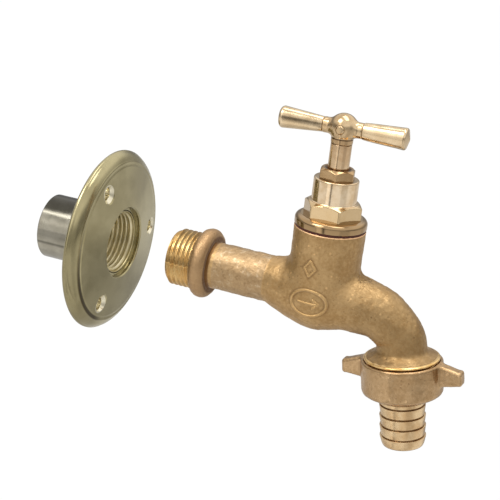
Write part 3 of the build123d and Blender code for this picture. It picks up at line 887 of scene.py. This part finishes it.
def inside_field(p):
    """Passages: chamber, seat, inlet, the way down to the outlet."""
    z = p[:, 2]
    chamber = np.maximum(tube_field(p, np.where(z > 14.5, 10.5, 10.0)), between(p, 3.0, 30))
    seat = np.maximum(tube_field(p, 5.0), between(p, -6, 6))
    pocket = np.maximum(tube_field(p, 5.8), between(p, -9.5, -1.5))
    inlet = np.maximum(tube_field(p, INLET_BORE, axis=0), between(p, -60, -14.5, axis=0))
    q = local(p, move(-9, 0, -4.2) @ turn(radians(110), "Y"))
    link = np.maximum(tube_field(q, 3.6), between(q, -8, 8))
    return np.minimum.reduce([chamber, seat, pocket, inlet, link, spout_field(p, PASSAGE)])


def body_field(p):
    """Cast body with its passages taken out."""
    return soft_max(outside_field(p), -inside_field(p), 0.15)


def roughen(part, depth, size, seed, where):
    """Move vertices along their normals by smooth noise, as a mould leaves a casting."""
    verts, faces = part
    quads = np.array(faces)
    across = np.cross(verts[quads[:, 2]] - verts[quads[:, 0]], verts[quads[:, 3]] - verts[quads[:, 1]])
    normals = np.zeros_like(verts)
    for i in range(4):
        for axis in range(3):
            normals[:, axis] += np.bincount(quads[:, i], across[:, axis], len(verts))
    normals /= np.maximum(np.linalg.norm(normals, axis=-1, keepdims=True), 1e-9)
    shift = Vector((seed, 0, 0))
    amount = np.array([noise.fractal(Vector(v) / size + shift, 0.9, 2.1, 3) for v in verts]) * where(verts)
    return verts + normals * (depth * amount)[:, None], faces


def rough_where(verts):
    """Full roughness on cast skin, none on machined faces and inside the passages."""
    outer = np.clip(1 - np.abs(outside_field(verts)) / 0.3, 0, 1)
    return outer * np.clip((23.6 - verts[:, 2]) / 1.0, 0, 1)


body_skin = skinned(body_field, (-48.5, -14.2, -20.5), (46.0, 14.2, 24.6), 0.5)
body_skin = roughen(body_skin, 0.09, 2.2, 3.0, rough_where)


def neck_where(verts):
    """The neck and the spout's crown came out of the mould less even than the rest."""
    neck = np.clip(verts[:, 0] - COLLAR_X - 3.2, 0, 1) * np.clip(-17.0 - verts[:, 0], 0, 1)
    crown = np.clip((verts[:, 0] - 13.0) / 3, 0, 1) * np.clip((verts[:, 2] + 9.0) / 3, 0, 1)
    return np.maximum(neck, 0.5 * crown) * rough_where(verts)


body_skin = roughen(body_skin, 0.22, 4.2, 21.0, neck_where)


def inlet_shape():
    """Inlet thread, from the mouth of the bore to inside the collar."""
    low = INLET_END + 0.3
    high = low + INLET_TURNS * PITCH
    inside_collar = COLLAR_X + 1
    return spun([(INLET_BORE, INLET_END + 0.6), (INLET_BORE + 0.6, INLET_END, 0.1),
                 (INLET_ROOT, INLET_END, 0.2)]
                + thread_rows(INLET_ROOT, low, high)
                + [(INLET_SHOULDER_R, high + 0.25, 0.1), (INLET_SHOULDER_R, inside_collar, 0.1),
                   (INLET_BORE, inside_collar, 0.1)],
                steps=192, shape=threaded(INLET_ROOT, low, high, INLET_CREST, INLET_ROOT))


def nose_shape():
    """Nose thread and the lip above it."""
    low, high = 0.25, NOSE_LENGTH - 0.1
    return spun([(OUTLET_BORE, NOSE_LENGTH, 0.2), (NOSE_ROOT, NOSE_LENGTH, 0.2)]
                + thread_rows(NOSE_ROOT, high, low)
                + [(NOSE_ROOT, -0.25, 0.1), (LIP_R - 0.05, -0.35, 0.2), (LIP_R, -0.9, 0.25),
                   (LIP_R - 0.5, -1.2, 0.15), (LIP_R - 2.0, -1.3, 0.1), (OUTLET_BORE, -1.3, 0.1)],
                steps=192, shape=threaded(NOSE_ROOT, low, high, NOSE_CREST, NOSE_ROOT))


def on_body(points):
    """Points on the near side of the casting, and the outward normals there, from (x, z) pairs."""
    flat = np.array(points, float)
    near = np.full(len(flat), -17.0)
    far = np.full(len(flat), -4.0)
    for _ in range(24):
        middle = (near + far) / 2
        out = outside_field(np.stack([flat[:, 0], middle, flat[:, 1]], -1)) > 0
        near, far = np.where(out, middle, near), np.where(out, far, middle)
    place = np.stack([flat[:, 0], near, flat[:, 1]], -1)
    slope = slope_of(outside_field, place, 0.05)
    return place, slope / np.linalg.norm(slope, axis=-1, keepdims=True)


def rib(points, closed=False, width=0.5, height=0.5, sides=8):
    """Raised round-backed line on the casting along (x, z) points."""
    place, normal = on_body(points)
    ahead = np.roll(place, -1, 0) - np.roll(place, 1, 0)
    if not closed:
        ahead[0] = place[1] - place[0]
        ahead[-1] = place[-1] - place[-2]
    ahead /= np.linalg.norm(ahead, axis=-1, keepdims=True)
    across = np.cross(ahead, normal)
    angle = np.arange(sides) * 2 * pi / sides
    verts = (place[:, None] + across[:, None] * (width * np.cos(angle))[None, :, None]
             + normal[:, None] * (height * np.sin(angle))[None, :, None]).reshape(-1, 3)
    faces = grid_faces(len(place), sides, closed)
    if not closed:
        faces += [tuple(range(sides)), tuple(range(len(verts) - sides, len(verts)))]
    return verts, faces


def line(*corners, step=0.35):
    """Points along straight runs between corners."""
    result = []
    for a, b in zip(corners[:-1], corners[1:]):
        a, b = np.array(a, float), np.array(b, float)
        count = max(2, int(np.linalg.norm(b - a) / step))
        result += [a + (b - a) * t for t in np.arange(count) / count]
    return result + [np.array(corners[-1], float)]


def cast_marks():
    """Oval with a flow arrow, and a plain diamond above it."""
    x, z = OVAL
    oval = [(x + OVAL_HALF[0] * cos(a), z + OVAL_HALF[1] * sin(a)) for a in np.arange(96) * 2 * pi / 96]
    shaft = line((x - 3.9, z), (x + 3.7, z))
    head = line((x + 1.5, z + 1.7), (x + 3.9, z), (x + 1.5, z - 1.7))
    x, z = DIAMOND
    across, along = DIAMOND_HALF
    diamond = line((x - across, z), (x, z + along), (x + across, z), (x, z - along), (x - across, z))[:-1]
    return joined(rib(oval, True, 0.55, 0.55), rib(shaft), rib(head), rib(diamond, True))


body = piece("body_casting_skin", body_skin, TAP, "tap_body", "body_casting", "cast_brass", cast_look)
marks = piece("body_cast_marks", cast_marks(), TAP, "tap_body", "body_casting", "cast_brass", mark_look)
inlet = piece("body_inlet_thread", inlet_shape(), INLET, "tap_body", "body_casting", "cast_brass",
              thread_look, crease=40)
piece("body_nose_thread", nose_shape(), UNION, "tap_body", "body_casting", "cast_brass",
      nose_look, crease=40)


# ---- bonnet and gland
gasket_rows = [(GASKET_R, COLUMN_TOP), (COLUMN_R, COLUMN_TOP), (COLUMN_R, GASKET_TOP), (GASKET_R, GASKET_TOP)]
piece("bonnet_gasket_ring", spun(gasket_rows), TAP, "tap_body", "bonnet_gasket", "fibre", gasket_look)


def hex_rows(corner, low, high, count=36):
    """Rows of a stretch that hexed cuts, a little outside its corners."""
    return [(corner + 0.5, low + (high - low) * i / count, 0) for i in range(count + 1)]


def bonnet_shape():
    """Threaded foot, round flange, hexagon and gland box, hollow for the spindle and its packing."""
    web = GLAND_FLOOR - 1.6
    low = FLANGE_TOP + 0.02
    lower = [(8.2, BONNET_FOOT), (9.65, BONNET_FOOT), (10.4, BONNET_FOOT + 0.8), (10.4, GASKET_TOP),
             (FLANGE_R, GASKET_TOP, 0.2), (FLANGE_R, FLANGE_TOP - 1.3, 0.5),
             (FLANGE_R - 0.7, FLANGE_TOP - 0.4, 0.5), (FLANGE_R - 2.2, FLANGE_TOP, 0.3)]
    upper = [(GLAND_BOX_R + 0.2, HEX_TOP, 0.15), (GLAND_BOX_R, HEX_TOP + 0.25, 0.15),
             (GLAND_BOX_R, GLAND_BOX_TOP - 0.3, 0.3), (GLAND_BOX_R - 0.3, GLAND_BOX_TOP, 0.3),
             (GLAND_CAVITY, GLAND_BOX_TOP), (GLAND_CAVITY, GLAND_FLOOR), (STEM_HOLE, GLAND_FLOOR),
             (STEM_HOLE, web), (5.05, web), (5.05, BONNET_FOOT + 1.6), (6.6, BONNET_FOOT + 1.6)]
    return spun(lower + hex_rows(BONNET_HEX, low, HEX_TOP) + upper, steps=288,
                shape=hexed(BONNET_HEX, low, HEX_TOP, 1.2, HEX_TURN))


def gland_shape():
    """Hexagon over a skirt that presses the packing down."""
    base = GLAND_BOX_TOP + 0.05
    rows = [(STEM_HOLE + FIT_GAP, GLAND_SKIRT_END), (GLAND_SKIRT_R - 0.4, GLAND_SKIRT_END),
            (GLAND_SKIRT_R, GLAND_SKIRT_END + 0.4), (GLAND_SKIRT_R, base - 0.01, 0.05)]
    rows += hex_rows(GLAND_HEX, base, GLAND_TOP)
    rows += [(STEM_HOLE + 0.75, GLAND_TOP, 0.1), (STEM_HOLE + 0.05, GLAND_TOP - 0.7, 0.1)]
    return spun(rows, steps=240, shape=hexed(GLAND_HEX, base, GLAND_TOP, 1.1, GLAND_TURN))


piece("bonnet_head", bonnet_shape(), TAP, "tap_body", "bonnet", "turned_brass", bonnet_look, crease=32)
piece("gland_nut_hex", gland_shape(), TAP, "gland_nut_body", "gland_nut", "gland_brass", gland_look,
      crease=32)


# ---- spindle and handle
def spindle_shape():
    """Screw below, smooth stem above, and a thinner core inside the hub."""
    low, high = SPINDLE_SCREW
    bore, bore_end = SPINDLE_BORE
    core_top = HUB_Z + 1.6
    rows = [(0, bore_end, 0), (bore, bore_end, 0.1), (bore, SPINDLE_FOOT, 0.1),
            (SPINDLE_ROOT, SPINDLE_FOOT, 0.2)]
    rows += [(SPINDLE_ROOT, z, 0) for z in np.linspace(low, high, 150)]
    rows += [(SPINDLE_ROOT, high + 0.4, 0.1), (STEM_R, high + 1.0), (STEM_R, STEM_TOP - 0.15, 0.25),
             (STEM_CORE, STEM_TOP, 0.05), (STEM_CORE, core_top, 0.1), (0, core_top, 0)]
    screw = threaded(SPINDLE_ROOT, low, high, SPINDLE_CREST, SPINDLE_ROOT, SPINDLE_PITCH, fade=0.8,
                     flank=(0.2, 0.35), rounded=False)
    return spun(rows, steps=128, shape=screw, closed=False)


def hole(radius):
    """Cutter for a cross hole in the spindle."""
    radius += FIT_GAP
    return spun([(0, -9, 0), (radius, -9, 0), (radius, 9, 0), (0, 9, 0)], 64, closed=False)


spindle = piece("spindle_stem", spindle_shape(), TAP, "spindle_handle", "spindle", "turned_brass", stem_look,
                crease=35)
cut(spindle, hole(BAR_CORE), BAR)
cut(spindle, hole(PIN_R), PIN)
sharpen(spindle, 35)


def hub_field(p):
    """Ball with two short bosses along X and a skirt below, bored for bar, pin and spindle."""
    ball = np.linalg.norm(p, axis=-1) - HUB_R
    boss = soft_max(tube_field(p, BOSS_R, axis=0), between(p, -BOSS_REACH, BOSS_REACH, axis=0), 0.3)
    skirt = soft_max(tube_field(p, np.interp(p[:, 2], *HUB_SKIRT)), between(p, STEM_TOP - HUB_Z, -2.0), 0.3)
    shape = soft_min(soft_min(ball, boss, 1.0), skirt, 0.25)
    stem = np.maximum(tube_field(p, STEM_CORE + FIT_GAP), between(p, -9, 1.7))
    bar = tube_field(p, BAR_CORE + FIT_GAP, axis=0)
    pin = tube_field(p, PIN_R + FIT_GAP, axis=1)
    return soft_max(shape, -np.minimum(np.minimum(stem, bar), pin), 0.12)


GRIP_START = BOSS_REACH + 0.05


def grip_rows(root):
    """Outside of a flared grip, from the boss out."""
    return [(root - 0.15, GRIP_START, 0.1), (root, GRIP_START + 0.15, 0.1),
            (root + 0.25, BOSS_REACH + 3.0, 1.5), (GRIP_END - 0.12, BAR_HALF - 2.4, 0.8),
            (GRIP_END, BAR_HALF - 1.0, 0.4)]


def left_bar_shape():
    """Bar with its grip in one piece."""
    seat = BAR_SEAT - BAR_HALF
    rows = [(0, seat, 0), (BAR_CORE, seat, 0.2), (BAR_CORE, GRIP_START, 0.02), *grip_rows(2.65),
            (GRIP_END - 0.5, BAR_HALF - 0.3, 0.35), (GRIP_END - 1.2, BAR_HALF, 0.4), (0, BAR_HALF, 0)]
    return spun(rows, steps=128, closed=False)


def right_bar_shape():
    """Grip that is pressed on the bar, with a shallow turned point."""
    seat = BAR_HALF - BAR_SEAT + 0.2
    rows = [(0, seat, 0), (BAR_CORE + FIT_GAP, seat, 0.05), (BAR_CORE + FIT_GAP, GRIP_START, 0.02),
            *grip_rows(2.95), (GRIP_END - 0.3, BAR_HALF - 0.45, 0.25), (0.5, BAR_HALF + 0.42, 0.2),
            (0, BAR_HALF + 0.5, 0)]
    return spun(rows, steps=128, closed=False)


piece("handle_hub_ball", skinned(hub_field, (-7.6, -5.7, -6.1), (7.6, 5.7, 5.7), 0.2), HUB,
      "spindle_handle", "handle_hub", "turned_brass", hub_look)
piece("tommy_bar_left", left_bar_shape(), BAR @ turn(pi, "X"), "spindle_handle", "tommy_bar",
      "turned_brass", handle_look, crease=40)
piece("bar_end_right", right_bar_shape(), BAR, "spindle_handle", "bar_end", "turned_brass",
      handle_look, crease=40)
rivet_rows = [(0, -PIN_HALF, 0), (PIN_R - 0.35, -PIN_HALF, 0.15), (PIN_R, 0.4 - PIN_HALF, 0.15),
              (PIN_R, PIN_HALF - 0.4, 0.15), (PIN_R - 0.35, PIN_HALF, 0.15), (0, PIN_HALF, 0)]
piece("hub_pin_rivet", spun(rivet_rows, steps=64, closed=False), PIN, "spindle_handle", "hub_pin",
      "turned_brass", hub_look, crease=40)


# ---- hose union
def nut_field(p):
    """Cast union nut about Z with two wings, bored and shouldered inside."""
    height = p[:, 2]
    side = tube_field(p, np.interp(height, [0, 0.6], [14.05, NUT_R]))
    slope = atan2(NUT_LENGTH - NUT_CYLINDER - 0.6, NUT_R - NUT_FOOT_R)
    cone = (height - NUT_CYLINDER - 0.4) * cos(slope) + tube_field(p, NUT_R - 0.3) * sin(slope)
    shell = soft_max(soft_max(side, cone, 1.2), between(p, 0, NUT_LENGTH), 0.5)
    q = local(p, turn(WING_TURN, "Z"))
    root = np.clip((WING_TIP - 1.5 - np.abs(q[:, 0])) / 5.0, 0, 1)
    q[:, 2] -= WING_TOP + WING_HEIGHT / 2 - 0.35 * root
    tip, half = np.full((2, len(q)), ((WING_TIP,), (WING_WIDTH / 2,)))
    gap = np.abs(q) - np.stack([tip, half, WING_HEIGHT / 2 + 1.05 * root], -1) + WING_ROUND
    wing = np.linalg.norm(np.maximum(gap, 0), axis=-1) + np.minimum(gap.max(-1), 0) - WING_ROUND
    mouth = np.maximum(tube_field(p, NUT_MOUTH), height - NUT_SHOULDER)
    return soft_max(soft_min(shell, wing, 1.6), -np.minimum(mouth, tube_field(p, NUT_HOLE)), 0.3)


def nut_rough(verts):
    """Cast outside, machined mouth."""
    return np.clip((tube_field(verts, NUT_MOUTH) - 0.2) / 0.4, 0, 1)


nut_skin = skinned(nut_field, (-22.6, -16, -0.6), (22.6, 16, 15.4), 0.4)
piece("wing_nut_cast", roughen(nut_skin, 0.10, 3.0, 11.0, nut_rough), UNION, "union_nut", "wing_nut",
      "nut_brass", nut_look)


def tail_shape():
    """Flange that the nut holds, a neck, and four barbs with a groove above each."""
    rows = [(TAIL_BORE, TAIL_FLANGE[0]), (TAIL_FLANGE_R, TAIL_FLANGE[0]), (TAIL_FLANGE_R, TAIL_FLANGE[1]),
            (TAIL_NECK, TAIL_FLANGE[1], 0.2), (TAIL_NECK, BARB_START - 0.4, 0.1)]
    for i in range(BARBS):
        top = BARB_START + i * BARB_PITCH
        rows += [(BARB_GROOVE, top - 0.3, 0.05), (BARB_GROOVE, top, 0.05), (BARB_CREST, top + 0.08, 0.12),
                 (BARB_CREST - 0.05, top + 0.5, 0.2)]
        if i < BARBS - 1:
            rows.append((BARB_VALLEY, top + BARB_PITCH - 0.4, 0.08))
    rows += [(BARB_VALLEY - 0.15, TAIL_END - 0.9, 0.6), (BARB_VALLEY - 0.6, TAIL_END, 0.3),
             (TAIL_BORE + 0.3, TAIL_END, 0.2), (TAIL_BORE, TAIL_END - 0.4, 0.2)]
    return spun(rows, steps=192)


piece("hose_tail_barbed", tail_shape(), UNION, "tail", "hose_tail", "tail_brass", tail_look, crease=50)


# ---- pieces kept from the CAD model
kept = {"packing_washer": bonnet_look, "packing_ring_lower": packing_look,
        "packing_ring_upper": packing_look, "jumper": stem_look, "valve_washer": rubber_look,
        "washer_nut": stem_look, "gland_follower": gland_look, "outlet_washer": rubber_look}
for node, look in kept.items():
    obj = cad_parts[node]
    obj.data.materials.clear()
    obj.data.materials.append(look)


# ---- floor, light and camera
def floor():
    """Pale floor: white to the eye; in reflections a mid grey, lighter and darker by direction."""
    mesh = bpy.data.meshes.new("floor")
    signs = ((-1, -1), (1, -1), (1, 1), (-1, 1))
    corners = [(x * FLOOR_REACH, y * FLOOR_REACH, FLOOR_LEVEL) for x, y in signs]
    mesh.from_pydata(corners, [], [(0, 1, 2, 3)])
    look = Look("floor")
    side = look.plus(look.times(look.x, cos(AZIMUTH)), look.times(look.y, sin(AZIMUTH)))
    front = look.minus(look.times(look.x, sin(AZIMUTH)), look.times(look.y, cos(AZIMUTH)))
    around = look.math("DEGREES", look.math("ARCTAN2", side, front))
    level = look.plus(0.5, look.times(look.noise(60.0, 2.0), 0.06))
    for strength, low, high, soft in ((0.12, -100, -52, 5), (0.36, -44, -31, 3), (-0.40, -25, -21, 1.5),
                                      (0.16, -15, 25, 4), (0.16, 66, 105, 10)):
        level = look.plus(level, look.times(look.window(around, low, high, soft), strength))
    behind = look.times(look.window(around, 120, 178, 8), look.ramp(look.y, 20.0, 120.0))
    level = look.plus(look.times(level, look.minus(1.0, behind)),
                      look.times(look.ramp(look.y, 200.0, 380.0, 0.32, 0.60), behind))
    look.colour = look.node("CombineXYZ", {0: level, 1: level, 2: level}).outputs[0]
    look.finish(0.9, metal=0.0)
    seen = look.times(look.node("LightPath").outputs["Is Camera Ray"], FLOOR_SEEN)
    glow = look.node("Emission", {"Color": (1, 1, 1), "Strength": FLOOR_GLOW}).outputs[0]
    mixed = look.node("MixShader", {0: seen, 1: look.shader.outputs[0], 2: glow}).outputs[0]
    look.put(look.tree.nodes["Material Output"].inputs["Surface"], mixed)
    mesh.materials.append(look.material)
    linked("floor", mesh)


class Studio(Nodes):
    """Soft studio surroundings, as a world shader of smooth patches by direction."""

    def __init__(self, base):
        made = bpy.data.worlds.new("studio")
        bpy.context.scene.world = made
        made.use_nodes = True
        self.tree = made.node_tree
        self.level = base
        way = self.node("TexCoord").outputs["Generated"]
        self.up = self.node("SeparateXYZ", {0: way}).outputs[2]
        side, front = (self.node("VectorMath", {0: way, 1: axis}, operation="DOT_PRODUCT")
                       for axis in ((cos(AZIMUTH), sin(AZIMUTH), 0), (sin(AZIMUTH), -cos(AZIMUTH), 0)))
        self.around = self.math("ARCTAN2", side.outputs["Value"], front.outputs["Value"])

    def patch(self, strength, around=(-200, 200, 1), up=(-2, 2, 0.1)):
        """Add light in a window of directions: degrees right of the viewer, and height of the ray."""
        low, high, soft = (radians(a) for a in around)
        area = self.times(self.window(self.around, low, high, soft), self.window(self.up, *up))
        self.level = self.plus(self.level, self.times(area, strength))

    def light(self):
        """White to the eye; elsewhere the patches, and never quite dark."""
        seen = self.times(self.node("LightPath").outputs["Is Camera Ray"], SEEN_WHITE)
        level = self.math("MAXIMUM", self.math("MAXIMUM", self.level, DARKEST), seen)
        background = self.tree.nodes["Background"]
        background.inputs["Color"].default_value = STUDIO_COLOUR
        self.tree.links.new(level, background.inputs["Strength"])


def lamp(name, place, size, power):
    """Soft rectangular light that faces the middle of the object."""
    data = bpy.data.lights.new(name, "AREA")
    data.shape = "RECTANGLE"
    data.size, data.size_y = size
    data.energy = power
    obj = linked(name, data)
    obj.location = place
    obj.rotation_mode = "QUATERNION"
    obj.rotation_quaternion = (Vector((0.07, 0, 0)) - Vector(place)).to_track_quat("-Z", "Y")


def camera():
    """Camera at the viewing angle: azimuth and elevation of its line of sight, and a small roll."""
    right = Vector((cos(AZIMUTH), sin(AZIMUTH), 0))
    ahead = Vector((-sin(AZIMUTH) * cos(ELEVATION), cos(AZIMUTH) * cos(ELEVATION), -sin(ELEVATION)))
    up = right.cross(ahead)
    rolled = (right * cos(ROLL) + up * sin(ROLL), up * cos(ROLL) - right * sin(ROLL), -ahead)
    data = bpy.data.cameras.new("camera")
    data.lens = LENS
    obj = linked("camera", data)
    obj.matrix_world = move(*CAMERA_PLACE) @ Matrix(rolled).transposed().to_4x4()
    bpy.context.scene.camera = obj


for obj in (body, inlet, marks):
    obj.visible_glossy = False
floor()
studio = Studio(0.34)
studio.patch(0.75, up=(0.55, 2, 0.35))
studio.patch(0.85, around=(-50, -33, 4), up=(-0.1, 0.75, 0.2))
studio.patch(-0.28, around=(-27, -20, 3), up=(-0.4, 0.6, 0.2))
studio.patch(0.18, around=(-20, 40, 12), up=(-0.3, 0.5, 0.2))
studio.patch(0.15, around=(95, 150, 20), up=(-0.1, 0.7, 0.2))
studio.light()
lamp("key", (-0.25, -0.35, 0.75), (0.35, 0.35), 2.2)
lamp("top", (0.15, 0.1, 0.8), (0.6, 0.3), 1.8)
camera()
bpy.context.scene.view_settings.view_transform = "Standard"
